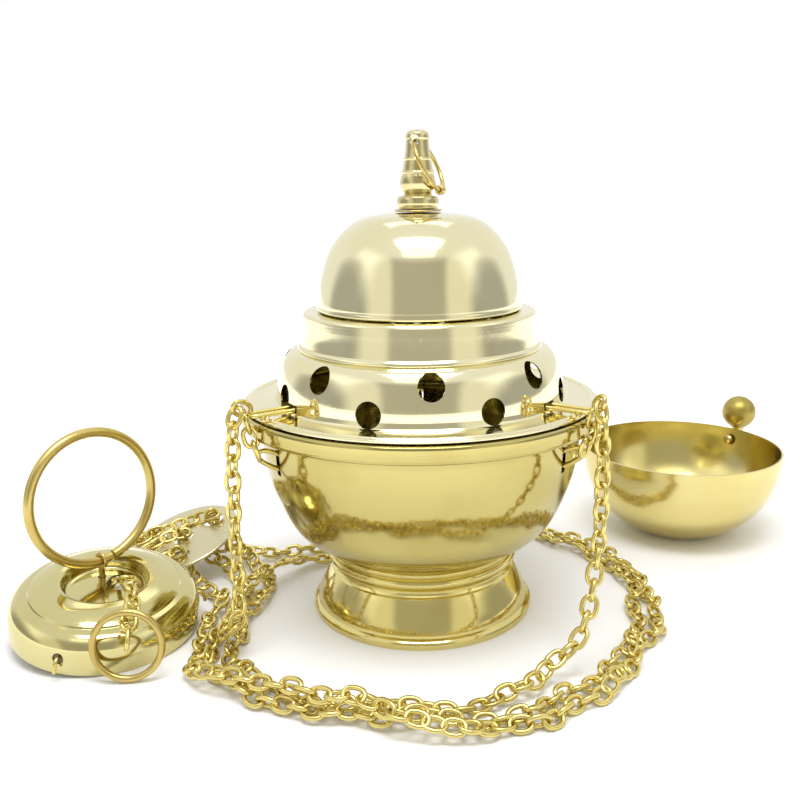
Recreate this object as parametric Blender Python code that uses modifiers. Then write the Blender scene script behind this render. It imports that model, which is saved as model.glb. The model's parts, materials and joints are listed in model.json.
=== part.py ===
"""A hanging thurible laid out on a table: covered bowl on a foot, lid, chains, hand cap, guide plate and coal pan.

Metres, +Z up. The origin lies on the table under the middle of the whole set. Sizes are in
millimetres and go through MM. The bowl's axis is at BOWL_AT; each loose piece has an empty of its own.
"""

import math

import bmesh
import bpy
import numpy as np
from mathutils import Matrix, Vector

MM = 0.001
GAP = 0.3  # between pieces that touch

# Where the pieces stand: the bowl's axis from the origin, and the loose pieces from the bowl's axis.
BOWL_AT = (-8.7, -24.2)
PAN_AT = (117.5, 70.0)
CAP_AT = (-112.9, -24.3)
CAP_TILT_X, CAP_TILT_Y = 7.3, 6.0
PLATE_AT = (-99.1, 31.0, 12.2)
PLATE_TILT_X, PLATE_TILT_Y = 10.8, -15.4

# Bowl and lid
SHEET = 0.9
RIM_R, RIM_Z, BAND_LOW_Z = 65.0, 79.3, 73.4
BOWL_R, BOWL_FLOOR_Z = 57.4, 26.4
FLANGE_R, FLANGE_Z = 63.2, RIM_Z + GAP + SHEET
TIER_R, TIER_TOP_Z, BAND_TOP_Z = 51.5, 98.7, 111.5
DOME_TOP_Z = 145.0
HOLE_R, HOLE_TURN = 4.3, 4.0
HOLE_ROWS = ((85.0, 22.5), (93.6, 0.0))
STATION_ANGLES = {"left": 214.0, "right": 326.0, "back": 90.0}

# Foot
FOOT_R, NECK_R = 41.2, 33.6

# Wire and chain
CHAIN_D = 6.0
LINK_WIRE, GUIDE_WIRE = 1.3, 1.5
GUIDE_Z, GUIDE_IN, GUIDE_OUT, GUIDE_HALF_W = 82.4, 46.4, 67.6, 2.35
ANCHOR_R, ANCHOR_Z, ANCHOR_PITCH = 58.7, 66.0, 30.0

# Finial
CROSS_Z, CROSS_R, CROSS_TURN = 168.9, 1.8, 18.0
FINIAL_RING_R, FINIAL_RING_WIRE, FINIAL_RING_HANG = 9.2, 1.3, 26.0

# Pan
PAN_R, PAN_H, PAN_KNOB_R, PAN_KNOB_TURN = 43.3, 38.4, 7.7, 41.0

# Cap, rings and plate
CAP_R, CAP_HOLE_R, CAP_HOLE_AT = 32.2, 5.3, (4.1, 4.9)
CAP_LINK_ANGLES = {"front": 261.4, "right": 21.4, "left": 141.4}
CAP_LINK_Z, CAP_SIDE_HOLE_R = 5.6, 1.9
EYE_AT, EYE_Z, EYE_R, EYE_WIRE = (-3.8, 7.4), 18.6, 2.7, 1.3
FINGER_RING_R, FINGER_RING_WIRE, FINGER_RING_TURN, FINGER_RING_LEAN = 23.35, 3.5, -39.7, 3.0
PULL_RING_R, PULL_RING_WIRE = 10.9, 2.3
PULL_RING_AT, PULL_RING_TURN, PULL_RING_LEAN = (-94.5, -57.2, 12.2), -85.0, 9.0
PLATE_R, PLATE_T, PLATE_HOLE_R, PLATE_HOLE_RING = 23.4, 1.2, 4.4, 14.5

# Routes of the chains, from the bowl's axis. On the table a chain's middle is at LOW.
LOW = CHAIN_D / 2 + 0.1
ROUTES = {
    "chain_left": [
        (-59.3, -41.0, 80), (-60.3, -42.5, 66), (-60.8, -43.5, 44), (-60.6, -44.5, 26), (-61.2, -46.0, 16),
        (-63.8, -46.6, 10.8), (-67.4, -42.5, 9.2), (-67.9, -33, 9.2), (-67.2, -19, 9.2), (-65.6, -4, 9.3),
        (-61, 9, 9.9), (-55.5, 18, 8.6), (-50, 25.5, 5.4), (-43, 32, LOW), (-33, 39.5, LOW), (-21, 45, LOW),
        (-9, 47.4, LOW), (-0.5, 50.4, LOW), (0, 55.4, LOW), (-7, 58.6, LOW), (-18, 58, LOW), (-31, 53.5, LOW),
        (-42, 46.5, LOW), (-50.5, 39.6, LOW), (-60, 36.4, LOW), (-70, 36, 5.0),
    ],
    "chain_right": [
        (57.6, -41.6, 80), (58.2, -43.2, 66), (57.4, -46.5, 46), (54.6, -51.5, 27), (50, -57.5, 14),
        (44, -63, 7.5), (34, -71.5, 4.2), (20, -79, LOW), (4, -82.6, LOW), (-15, -81.4, LOW), (-34, -76, LOW),
        (-50, -67, LOW), (-60, -57.5, LOW), (-64, -47, LOW), (-64.2, -33, LOW), (-63.2, -18, LOW),
        (-61.4, -2, LOW), (-62.6, 12, LOW), (-69, 25, 4.6),
    ],
    "chain_back": [
        (0, 72.5, 80), (0.5, 74.5, 62), (1.5, 75, 38), (4, 75.5, 16), (10, 75.2, 5.6), (22, 72.5, LOW),
        (41, 66, LOW), (58, 54, LOW), (72.5, 39, LOW), (82.5, 21.5, LOW), (86.4, 3, LOW), (84.8, -18, LOW),
        (77, -38.5, LOW), (64.5, -57.5, LOW), (49, -73, LOW), (29, -86.5, LOW), (6, -91.4, LOW),
        (-17, -89.4, LOW), (-38, -83.4, LOW), (-56, -72.6, LOW), (-66.6, -61.4, LOW), (-70.7, -48, LOW),
        (-71.0, -33, LOW), (-70.2, -19, LOW), (-69.0, -3, LOW), (-72.5, 11, LOW), (-79, 18.5, 4.6),
    ],
    "lid_chain": [
        (0, 11.0, 149.4), (0.8, 16.5, 148.4), (2, 24.6, 144.8), (3.5, 31.8, 137.8), (5.5, 37.6, 128),
        (8.5, 42.2, 117), (11, 46.8, 108.5), (13, 49.6, 102), (14.8, 53.8, 95), (16, 60, 88.4), (16, 68.2, 84),
        (15, 73.5, 78), (14.5, 76.5, 62), (15, 79.5, 38), (17, 82, 16), (24, 81.6, 5.6), (36, 76.5, LOW),
        (53, 66, LOW), (69, 52.5, LOW), (82.5, 36, LOW), (91, 16.5, LOW), (93.4, -4, LOW), (89.6, -26.5, LOW),
        (79.5, -49, LOW), (64.5, -69, LOW), (46, -85.4, LOW), (25, -95.8, LOW), (8, -98.4, 4.8),
        (-5, -95, 8.6), (-18, -88.8, 9.8), (-31, -83.2, 9.9), (-44, -77.8, 10.2), (-56, -72.2, 10.4),
        (-67.4, -69.4, 9.0), (-76.2, -61.4, 4.8), (-77.4, -47, LOW), (-77.5, -33.5, LOW), (-76.9, -20, LOW),
        (-76.4, -8, LOW), (-82, 3, LOW), (-90, 9.5, 4.2),
    ],
    "chain_left_tail": [(-128, 37.5, LOW), (-135.4, 30, LOW), (-139.4, 20, LOW), (-138.6, 9, LOW),
                        (-134.6, -1, LOW), (-129.6, -10, LOW)],
    "chain_right_tail": [(-128.6, 26, LOW), (-132, 17, LOW), (-131, 8, LOW), (-127, -1, LOW), (-121.6, -9, LOW)],
    "chain_back_tail": [(-122, 15, LOW), (-122.3, 7.5, LOW), (-118.6, -0.5, LOW), (-113, -8.5, LOW)],
    "lid_chain_tail": [(-113.6, 7.9, LOW), (-110, 1.5, LOW), (-104.5, -4, LOW), (-98.4, -11, LOW)],
}

BRASS = {
    "bowl_brass": ((0.72, 0.60, 0.26), 0.12),
    "lid_brass": ((0.80, 0.72, 0.46), 0.10),
    "ring_brass": ((0.66, 0.46, 0.13), 0.22),
    "chain_brass": ((0.66, 0.53, 0.22), 0.30),
    "pan_brass": ((0.74, 0.62, 0.28), 0.18),
    "fixing_brass": ((0.55, 0.43, 0.20), 0.35),
}


# ---------------------------------------------------------------- scene


def clear_scene():
    for obj in list(bpy.data.objects):
        bpy.data.objects.remove(obj)


def collection(name):
    made = bpy.data.collections.new(name)
    bpy.context.scene.collection.children.link(made)
    return made


def brass(name):
    colour, roughness = BRASS[name]
    made = bpy.data.materials.get(name) or bpy.data.materials.new(name)
    made.use_nodes = True
    shader = made.node_tree.nodes["Principled BSDF"]
    shader.inputs["Base Color"].default_value = (*colour, 1.0)
    shader.inputs["Metallic"].default_value = 1.0
    shader.inputs["Roughness"].default_value = roughness
    return made


def empty(name, at=(0, 0, 0), turn=Matrix(), parent=None):
    made = bpy.data.objects.new(name, None)
    PARTS.objects.link(made)
    made.parent = parent
    made.matrix_local = Matrix.Translation(Vector(at) * MM) @ turn
    return made


def add(name, data, material, parent, at=(0, 0, 0), turn=Matrix()):
    made = bpy.data.objects.new(name, data)
    PARTS.objects.link(made)
    made.parent = parent
    made.matrix_local = Matrix.Translation(Vector(at) * MM) @ turn
    data.materials.append(brass(material))
    return made


def turn_about(axis, degrees):
    return Matrix.Rotation(math.radians(degrees), 4, axis)


def polar(radius, degrees, z=0.0):
    angle = math.radians(degrees)
    return (radius * math.cos(angle), radius * math.sin(angle), z)


# ---------------------------------------------------------------- shapes


def through(points, per):
    """A smooth line through the points: Catmull-Rom, with per steps between two of them."""
    p = np.array(points, float)
    p = np.vstack([2 * p[0] - p[1], p, 2 * p[-1] - p[-2]])
    line = []
    for a, b, c, d in zip(p, p[1:], p[2:], p[3:]):
        for t in np.arange(per) / per:
            line.append(0.5 * (2 * b + (c - a) * t + (2 * a - 5 * b + 4 * c - d) * t * t
                               + (3 * b - 3 * c + d - a) * t**3))
    return np.vstack([line, p[-2]])


def sheet(outer, thickness):
    """The closed outline of a sheet whose outer side is the given line of (radius, height)."""
    p = np.array(outer, float)
    along = np.diff(p, axis=0)
    along /= np.linalg.norm(along, axis=1)[:, None]
    inward = np.stack([along[:, 1], -along[:, 0]], axis=1)
    before, after = np.vstack([inward[:1], inward]), np.vstack([inward, inward[-1:]])
    middle = before + after
    inner = p + thickness * 2 * middle / (middle**2).sum(axis=1)[:, None]
    return np.vstack([p, inner[::-1]])


def turned(name, outline, material, parent, steps=24, at=(0, 0, 0), turn=Matrix()):
    """A body turned about its own Z. The outline is (radius, height), and a radius of 0 is on the axis."""
    outline = [(max(r, 0.0), z) for r, z in outline]
    on_axis = outline[0][0] == 0 or outline[-1][0] == 0
    mesh = bpy.data.meshes.new(name)
    points = [(r * MM, 0, z * MM) for r, z in outline]
    edges = [(i, i + 1) for i in range(len(points) - 1)]
    mesh.from_pydata(points, edges if on_axis else [*edges, (len(points) - 1, 0)], [])
    made = add(name, mesh, material, parent, at, turn)
    screw = made.modifiers.new("turn", "SCREW")
    screw.steps = screw.render_steps = steps
    screw.use_merge_vertices = True
    screw.merge_threshold = 1e-6
    screw.use_smooth_shade = True
    return made


def wire(name, points, diameter, material, parent, closed=False, sides=1, at=(0, 0, 0), turn=Matrix()):
    curve = bpy.data.curves.new(name, "CURVE")
    curve.dimensions = "3D"
    curve.bevel_depth = diameter * MM / 2
    curve.bevel_resolution = sides
    curve.use_fill_caps = not closed
    spline = curve.splines.new("POLY")
    spline.points.add(len(points) - 1)
    for made, point in zip(spline.points, points):
        made.co = (*(Vector(point) * MM), 1.0)
    spline.use_cyclic_u = closed
    return add(name, curve, material, parent, at, turn)


def ring_line(radius, count=24):
    return [polar(radius, 360 * k / count) for k in range(count)]


def oblong_line(length, width, per_end=5):
    """The middle line of a flat oblong link along X, with round ends."""
    radius, reach = width / 2, (length - width) / 2
    right = [(reach + x, y, 0) for x, y, _ in (polar(radius, -90 + 180 * k / per_end) for k in range(per_end + 1))]
    return right + [(-x, -y, 0) for x, y, _ in right]


def cylinder_cutter(name, pins, sides=20):
    """One cutter of several cylinders: each is (middle, direction, radius, length)."""
    work = bmesh.new()
    for middle, direction, radius, length in pins:
        place = Matrix.Translation(Vector(middle) * MM) @ Vector(direction).to_track_quat("Z", "Y").to_matrix().to_4x4()
        bmesh.ops.create_cone(work, cap_ends=True, segments=sides, radius1=radius * MM, radius2=radius * MM,
                              depth=length * MM, matrix=place)
    return cutter(name, work)


def box_cutter(name, boxes):
    """One cutter of several boxes: each is (middle, turn about Z, size)."""
    work = bmesh.new()
    for middle, degrees, size in boxes:
        place = Matrix.Translation(Vector(middle) * MM) @ turn_about("Z", degrees)
        bmesh.ops.create_cube(work, size=1.0, matrix=place @ Matrix.Diagonal((*(Vector(size) * MM), 1.0)))
    return cutter(name, work)


def cutter(name, work):
    mesh = bpy.data.meshes.new(name)
    work.to_mesh(mesh)
    work.free()
    made = bpy.data.objects.new(name, mesh)
    CUTTERS.objects.link(made)
    made.hide_render = True
    made.display_type = "WIRE"
    return made


def cut(piece, tool):
    tool.parent = piece
    modifier = piece.modifiers.new(tool.name, "BOOLEAN")
    modifier.operation = "DIFFERENCE"
    modifier.object = tool


# ---------------------------------------------------------------- bowl and foot


def bowl(parent):
    wall = [(BOWL_R, 65), (56.3, 56.0), (53.2, 46.0), (48.6, 36.2), (41.8, 29.6)]
    outer = [(58.2, RIM_Z), (64.3, RIM_Z), (RIM_R, 78.6), (RIM_R, 74.2), (64.2, BAND_LOW_Z),
             (58.8, BAND_LOW_Z - 0.2), (57.6, 72.2), *wall, (31.0, BOWL_FLOOR_Z), (2.4, BOWL_FLOOR_Z)]
    made = turned("bowl", sheet(outer, SHEET), "bowl_brass", parent, steps=28)
    slots = [(polar(57, a, 64.6), a, (8, 2.6, 9.0)) for a in STATION_ANGLES.values()]
    cut(made, box_cutter("bowl_slots", slots))


def foot(parent):
    outer = [(2.4, 26.1), (33.4, 26.1), (34.9, 24.2), (35.2, 21.0), (34.4, 19.0), (32.8, 17.6), (NECK_R, 15.6),
             (36.6, 11.0), (39.2, 4.6), (39.9, 2.9), (41.0, 2.2), (FOOT_R, 0.0), (39.4, 0.0)]
    turned("foot", sheet(outer, SHEET), "bowl_brass", parent)
    turned("foot_bolt", [(0, 29.7), (3.2, 29.5), (4.2, 28.4), (4.2, 27.6), (2.0, 27.6), (2.0, 19.0), (0, 19.0)],
           "fixing_brass", parent, steps=16)
    turned("foot_washer", [(2.4, 24.9), (6.5, 24.9), (6.5, 24.1), (2.4, 24.1)], "fixing_brass", parent, steps=20)
    turned("foot_nut", [(2.3, 23.8), (4.0, 23.8), (4.0, 21.0), (2.3, 21.0)], "fixing_brass", parent, steps=6)


def station(side, degrees, bowl_parent, lid_parent):
    """One of the places where a chain is held: its end link in the bowl's slot, and its guide on the lid."""
    round_z = turn_about("Z", degrees)
    stand = turn_about("X", 90)
    reach = 14.0 - LINK_WIRE
    wire(f"anchor_link_{side}", oblong_line(reach, CHAIN_D - LINK_WIRE), LINK_WIRE, "chain_brass", bowl_parent,
         closed=True, at=polar(ANCHOR_R, degrees, ANCHOR_Z), turn=round_z @ turn_about("Y", -ANCHOR_PITCH) @ stand)
    back = reach / 2 - LINK_WIRE - 0.5
    pin_r = ANCHOR_R - back * math.cos(math.radians(ANCHOR_PITCH))
    pin_z = ANCHOR_Z - back * math.sin(math.radians(ANCHOR_PITCH))
    wire(f"anchor_pin_{side}", [(0, -4.5, 0), (0, 0, 0), (0, 4.5, 0)], 1.2, "fixing_brass", bowl_parent,
         at=polar(pin_r - 0.35, degrees, pin_z), turn=round_z)
    length = GUIDE_OUT - GUIDE_IN - GUIDE_WIRE
    wire(f"lid_guide_{side}", oblong_line(length, 2 * GUIDE_HALF_W), GUIDE_WIRE, "chain_brass", lid_parent,
         closed=True, at=polar((GUIDE_IN + GUIDE_OUT) / 2, degrees, GUIDE_Z), turn=round_z)
    wire(f"guide_pin_{side}", [(0, 0, -3.4), (0, 0, 0), (0, 0, 3.4)], 1.2, "fixing_brass", lid_parent,
         at=polar(GUIDE_IN + GUIDE_WIRE + 0.95, degrees, GUIDE_Z), turn=round_z)


# ---------------------------------------------------------------- lid


def lid(parent):
    tier = [(43.6, TIER_TOP_Z), (47.2, 96.8), (49.9, 92.0), (51.1, 86.6), (TIER_R, 82.4)]
    outer = [(33.6, BAND_TOP_Z), (40.2, BAND_TOP_Z), (41.3, 110.6), (42.5, 99.9), *tier, (52.8, FLANGE_Z),
             (FLANGE_R, FLANGE_Z)]
    skirt = turned("lid_skirt", sheet(outer, SHEET), "lid_brass", parent, steps=28)
    holes = []
    for height, shift in HOLE_ROWS:
        for k in range(8):
            direction = polar(1, 45 * k + shift + HOLE_TURN - 90)
            holes.append((Vector(direction) * 50 + Vector((0, 0, height)), direction, HOLE_R, 14))
    cut(skirt, cylinder_cutter("lid_holes", holes, sides=10))
    slots = [(polar(50, a, GUIDE_Z + 0.25), a, (6, 2 * GUIDE_HALF_W + GUIDE_WIRE + 0.9, 2.4))
             for a in STATION_ANGLES.values()]
    cut(skirt, box_cutter("lid_slots", slots))
    turned("lid_collar", [(55.6, RIM_Z), (56.6, RIM_Z), (56.6, 73.0), (55.6, 73.0)], "lid_brass", parent)
    crown = [(17.0, 143.7), (24.0, 140.6), (29.7, 134.6), (33.6, 126.6), (35.9, 116.4)]
    turned("lid_dome", sheet([(2.3, DOME_TOP_Z), (8, 144.9), *crown, (34.4, BAND_TOP_Z + GAP)], SHEET), "lid_brass",
           parent)


def finial(parent):
    outline = [(0, 172.4), (3.0, 172.0), (4.0, 170.2), (4.6, 162.4), (5.2, 158.2), (6.1, 154.4), (4.8, 150.8),
               (7.1, 149.0), (6.6, 146.2), (1.9, 146.2), (1.9, 139.4), (0, 139.4)]
    made = turned("finial", outline, "ring_brass", parent, steps=16)
    along = (-math.sin(math.radians(CROSS_TURN)), -math.cos(math.radians(CROSS_TURN)), 0)
    cut(made, cylinder_cutter("finial_cross_hole", [((0, 0, CROSS_Z), along, CROSS_R, 14)], sides=10))
    turned("finial_washer", [(2.3, 145.9), (8.0, 145.9), (8.0, 145.3), (2.3, 145.3)], "ring_brass", parent, steps=16)
    turned("finial_nut", [(2.2, 143.5), (4.2, 143.5), (4.2, 140.9), (2.2, 140.9)], "fixing_brass", parent, steps=6)
    hang = turn_about("Z", -CROSS_TURN) @ turn_about("Y", 90 - FINIAL_RING_HANG)
    hinge = empty("finial_ring_hinge", (0, 0, CROSS_Z), hang, parent)
    line = [(x + FINIAL_RING_R, y, 0) for x, y, _ in ring_line(FINIAL_RING_R)]
    wire("finial_ring", line, FINIAL_RING_WIRE, "ring_brass", hinge, closed=True)


# ---------------------------------------------------------------- pan, cap, rings and plate


def pan(parent):
    rest = empty("pan_rest", (*PAN_AT, 0), parent=parent)
    wall = [(PAN_R, PAN_H), (42.6, 29.0), (38.2, 17.6), (30.4, 8.0), (20.4, 1.5)]
    turned("pan", sheet([*wall, (16, 0.0), (0, 0.0)], 1.0), "pan_brass", rest)
    side = empty("pan_side", turn=turn_about("Z", PAN_KNOB_TURN), parent=rest)
    stem = [(43.5, 0, 33.0), (46.0, 0, 33.2), (48.3, 0, 34.6), (49.2, 0, 36.6), (49.3, 0, 38.4)]
    wire("pan_stem", stem, 5.0, "pan_brass", side, sides=4)
    turned("pan_knob", [(0, PAN_KNOB_R), *(polar(PAN_KNOB_R, a)[:2] for a in range(70, -61, -20)), (0, -6.7)],
           "pan_brass", side, steps=16, at=(49.3, 0, 45.4))
    turned("pan_rivet", [(0, 1.2), (1.6, 1.0), (2.4, 0.0), (0, 0.0)], "fixing_brass", side, steps=16,
           at=(40.9, 0, 33.0), turn=turn_about("Y", -90))


def cap(parent):
    drop = math.hypot(math.sin(math.radians(CAP_TILT_X)), math.sin(math.radians(CAP_TILT_Y))) * CAP_R + 0.05
    tilt = turn_about("Y", CAP_TILT_Y) @ turn_about("X", CAP_TILT_X)
    rest = empty("cap_rest", (*CAP_AT, drop), tilt, parent)
    lip = [(13.9, 14.6), (15.8, 16.5), (19.6, 16.0), (25.3, 13.4)]
    shoulder = [(29.4, 11.6), (31.6, 8.6)]
    outer = [(0, 12.0), (12.8, 12.0), *lip, *shoulder, (CAP_R, 4.0), (CAP_R, 0.0)]
    body = turned("cap", sheet(outer, 0.8), "lid_brass", rest)
    side_holes = [(polar(CAP_R, a, CAP_LINK_Z), polar(1, a), CAP_SIDE_HOLE_R, 8) for a in CAP_LINK_ANGLES.values()]
    top_holes = [((*CAP_HOLE_AT, 12), (0, 0, 1), CAP_HOLE_R, 8), ((*EYE_AT, 12), (0, 0, 1), 1.5, 8)]
    cut(body, cylinder_cutter("cap_holes", side_holes + top_holes, sides=10))
    for side, degrees in CAP_LINK_ANGLES.items():
        hook = [(26.5, 0, 0), (31, 0, 0.2), (33.2, 0, -0.2), (34.2, 0, -1.6), (34.5, 0, -3.6)]
        wire(f"cap_hook_{side}", hook, LINK_WIRE, "chain_brass", rest, at=(0, 0, CAP_LINK_Z),
             turn=turn_about("Z", degrees))
    cap_eye(rest)


def cap_eye(rest):
    """The eye in the cap's recess, its nut, and the finger ring that stands in it."""
    upright = turn_about("X", -CAP_TILT_X) @ turn_about("Y", -CAP_TILT_Y)
    face = upright @ turn_about("Z", FINGER_RING_TURN)
    eye = turned("cap_eye", [(0, 4.3), (1.2, 4.3), (1.2, -6.6), (0, -6.6)], "ring_brass", rest, steps=16,
                 at=(*EYE_AT, EYE_Z - 7.0))
    loop = wire("cap_eye_loop", ring_line(EYE_R, 20), EYE_WIRE, "ring_brass", rest, closed=True,
                at=(*EYE_AT, EYE_Z), turn=face @ turn_about("X", 90))
    join(eye, loop)
    turned("cap_eye_nut", [(1.5, 10.9), (3.4, 10.9), (3.4, 8.6), (1.5, 8.6)], "fixing_brass", rest, steps=6,
           at=(*EYE_AT, 0))
    hinge = empty("finger_ring_hinge", (*EYE_AT, EYE_Z), face @ turn_about("Y", -FINGER_RING_LEAN), rest)
    line = [(0, y, z + FINGER_RING_R) for z, y, _ in ring_line(FINGER_RING_R)]
    wire("finger_ring", line, FINGER_RING_WIRE, "ring_brass", hinge, closed=True)


def join(piece, other):
    """Makes the curve other a mesh and unites it with piece."""
    bpy.context.view_layer.update()
    graph = bpy.context.evaluated_depsgraph_get()
    mesh = bpy.data.meshes.new_from_object(other.evaluated_get(graph))
    work = bmesh.new()
    work.from_mesh(mesh)
    bmesh.ops.remove_doubles(work, verts=work.verts, dist=1e-6)
    work.to_mesh(mesh)
    work.free()
    tool = bpy.data.objects.new(other.name + "_tool", mesh)
    CUTTERS.objects.link(tool)
    tool.matrix_world = other.matrix_world
    tool.hide_render = True
    tool.display_type = "WIRE"
    bpy.data.objects.remove(other)
    modifier = piece.modifiers.new("join", "BOOLEAN")
    modifier.operation = "UNION"
    modifier.object = tool


def pull_ring(parent):
    """The small ring on the lid chain's end, which leans on the cap's side, and the link above it."""
    lean = turn_about("Z", PULL_RING_TURN + 90) @ turn_about("X", -PULL_RING_LEAN)
    top = Vector(PULL_RING_AT) + lean @ Vector((0, 0, PULL_RING_R))
    hinge = empty("pull_ring_hinge", top, lean, parent)
    line = [(y, 0, z - PULL_RING_R) for z, y, _ in ring_line(PULL_RING_R)]
    wire("pull_ring", line, PULL_RING_WIRE, "ring_brass", hinge, closed=True)


def guide_plate(parent):
    tilt = turn_about("Y", PLATE_TILT_Y) @ turn_about("X", PLATE_TILT_X)
    rest = empty("plate_rest", PLATE_AT, tilt, parent)
    half = PLATE_T / 2
    plate = turned("guide_plate", [(0, half), (PLATE_R - 0.3, half), (PLATE_R, half - 0.3), (PLATE_R, 0.3 - half),
                                   (PLATE_R - 0.3, -half), (0, -half)], "lid_brass", rest)
    holes = [((0, 0, 0), (0, 0, 1), PLATE_HOLE_R, 6)]
    holes += [(polar(PLATE_HOLE_RING, 35 + 120 * k), (0, 0, 1), PLATE_HOLE_R, 6) for k in range(3)]
    cut(plate, cylinder_cutter("plate_holes", holes, sides=12))


def chains(parent):
    for name, route in ROUTES.items():
        line = through(route, per=6)
        step = np.concatenate([[0], np.cumsum(np.linalg.norm(np.diff(line, axis=0), axis=1))])
        count = max(4, round(step[-1] / (2.2 * CHAIN_D)))
        places = np.linspace(0, step[-1], count + 1)
        points = np.stack([np.interp(places, step, line[:, k]) for k in range(3)], axis=1)
        wire(name, [tuple(map(float, p)) for p in points], CHAIN_D, "chain_brass", parent, sides=2)


def main():
    set_out = empty("set_out", (*BOWL_AT, 0))
    bowl(set_out)
    foot(set_out)
    lid_rest = empty("lid_rest", parent=set_out)
    lid(lid_rest)
    finial(lid_rest)
    for side, degrees in STATION_ANGLES.items():
        station(side, degrees, set_out, lid_rest)
    pan(set_out)
    cap(set_out)
    pull_ring(set_out)
    guide_plate(set_out)
    chains(set_out)


clear_scene()
PARTS = collection("thurible")
CUTTERS = collection("cutters")
main()
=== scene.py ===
"""Fine surfaces and finishes of a polished brass thurible laid out on a table.

The covered bowl stands on its foot, with its chains run round it to the hand cap, and its pan beside it.
Lengths here are in millimetres from the bowl's axis unless a name says otherwise, and go through MM.
"""

import json
import logging
import math
from dataclasses import dataclass, field
from enum import Enum
from typing import Any, Iterable, Sequence

import bmesh
import bpy
import numpy as np
from mathutils import Matrix, Vector

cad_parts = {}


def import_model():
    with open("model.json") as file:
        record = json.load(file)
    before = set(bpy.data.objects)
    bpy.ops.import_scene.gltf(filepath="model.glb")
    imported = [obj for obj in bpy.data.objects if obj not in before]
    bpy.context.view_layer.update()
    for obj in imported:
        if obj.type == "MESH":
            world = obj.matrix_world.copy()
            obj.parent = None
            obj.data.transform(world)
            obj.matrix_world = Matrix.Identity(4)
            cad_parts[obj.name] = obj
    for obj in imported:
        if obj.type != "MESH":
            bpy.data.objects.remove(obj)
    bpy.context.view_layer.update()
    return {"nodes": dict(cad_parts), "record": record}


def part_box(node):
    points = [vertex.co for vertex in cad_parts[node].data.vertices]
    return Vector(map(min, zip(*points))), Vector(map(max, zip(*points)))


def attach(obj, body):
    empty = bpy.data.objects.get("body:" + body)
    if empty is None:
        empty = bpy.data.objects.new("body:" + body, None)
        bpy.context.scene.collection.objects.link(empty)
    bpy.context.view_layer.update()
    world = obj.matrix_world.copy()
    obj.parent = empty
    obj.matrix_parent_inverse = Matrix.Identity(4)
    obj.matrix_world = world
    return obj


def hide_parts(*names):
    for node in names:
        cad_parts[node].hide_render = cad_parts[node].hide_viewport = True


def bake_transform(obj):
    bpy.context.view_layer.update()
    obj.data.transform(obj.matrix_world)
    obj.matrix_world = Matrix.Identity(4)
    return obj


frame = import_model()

logging.basicConfig(level=logging.INFO, format="%(message)s")
LOG = logging.getLogger("thurible")

MM = 0.001
SEED = 20
FLOOR_GAP = 0.05
Point = tuple[float, float, float]
Outline = list[tuple[float, float]]


# ---------------------------------------------------------------- places


def middle_of(node: str) -> Vector:
    """Finds where a CAD node stands.

    Args:
        node: The CAD node's name.

    Returns:
        The middle of its box on the table plane, in metres.
    """
    low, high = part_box(node)
    return Vector(((low.x + high.x) / 2, (low.y + high.y) / 2, 0.0))


def hinge_of(joint: str) -> Vector:
    """Reads a hinge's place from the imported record.

    Args:
        joint: The joint's name.

    Returns:
        A point on its axis, in metres.
    """
    found = [made for made in frame["record"]["behaviour"]["joints"] if made["name"] == joint]
    return Vector(found[0]["pos_m"])


AXIS = middle_of("bowl")


def turn(axis: str, degrees: float) -> Matrix:
    """Makes a rotation about X, Y or Z, in degrees."""
    return Matrix.Rotation(math.radians(degrees), 4, axis)


def polar(radius: float, degrees: float, height: float = 0.0) -> Point:
    """Gives the point at a radius, an angle in degrees and a height."""
    angle = math.radians(degrees)
    return (radius * math.cos(angle), radius * math.sin(angle), height)


def world(point: Sequence[float]) -> Vector:
    """Takes a point in millimetres from the bowl's axis to metres in the frame."""
    return AXIS + Vector(point) * MM


# ---------------------------------------------------------------- shader expressions


class Signal:
    """A shader socket that can be used in an expression with numbers and other signals."""

    def __init__(self, graph: "Graph", socket: Any) -> None:
        """Wraps a socket of the graph."""
        self.graph = graph
        self.socket = socket

    def _maths(self, operation: str, *values: Any) -> "Signal":
        """Adds one Math node on the values."""
        return self.graph.add("ShaderNodeMath", {"operation": operation}, dict(enumerate(values)))

    def __add__(self, other: Any) -> "Signal":
        """Adds."""
        return self._maths("ADD", self, other)

    __radd__ = __add__

    def __sub__(self, other: Any) -> "Signal":
        """Takes other away."""
        return self._maths("SUBTRACT", self, other)

    def __rsub__(self, other: Any) -> "Signal":
        """Takes this away from other."""
        return self._maths("SUBTRACT", other, self)

    def __mul__(self, other: Any) -> "Signal":
        """Multiplies."""
        return self._maths("MULTIPLY", self, other)

    __rmul__ = __mul__

    def __pow__(self, other: Any) -> "Signal":
        """Raises to a power."""
        return self._maths("POWER", self, other)

    def __abs__(self) -> "Signal":
        """Drops the sign."""
        return self._maths("ABSOLUTE", self)

    def between(self, low: float, high: float) -> "Signal":
        """Rises smoothly from 0 at low to 1 at high.

        Args:
            low: The value that gives 0.
            high: The value that gives 1; below low for a falling step.

        Returns:
            The step, as a signal.
        """
        settings = {"interpolation_type": "SMOOTHSTEP"}
        if low <= high:
            return self.graph.add("ShaderNodeMapRange", settings, {"Value": self, 1: low, 2: high})
        return 1.0 - self.between(high, low)


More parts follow.
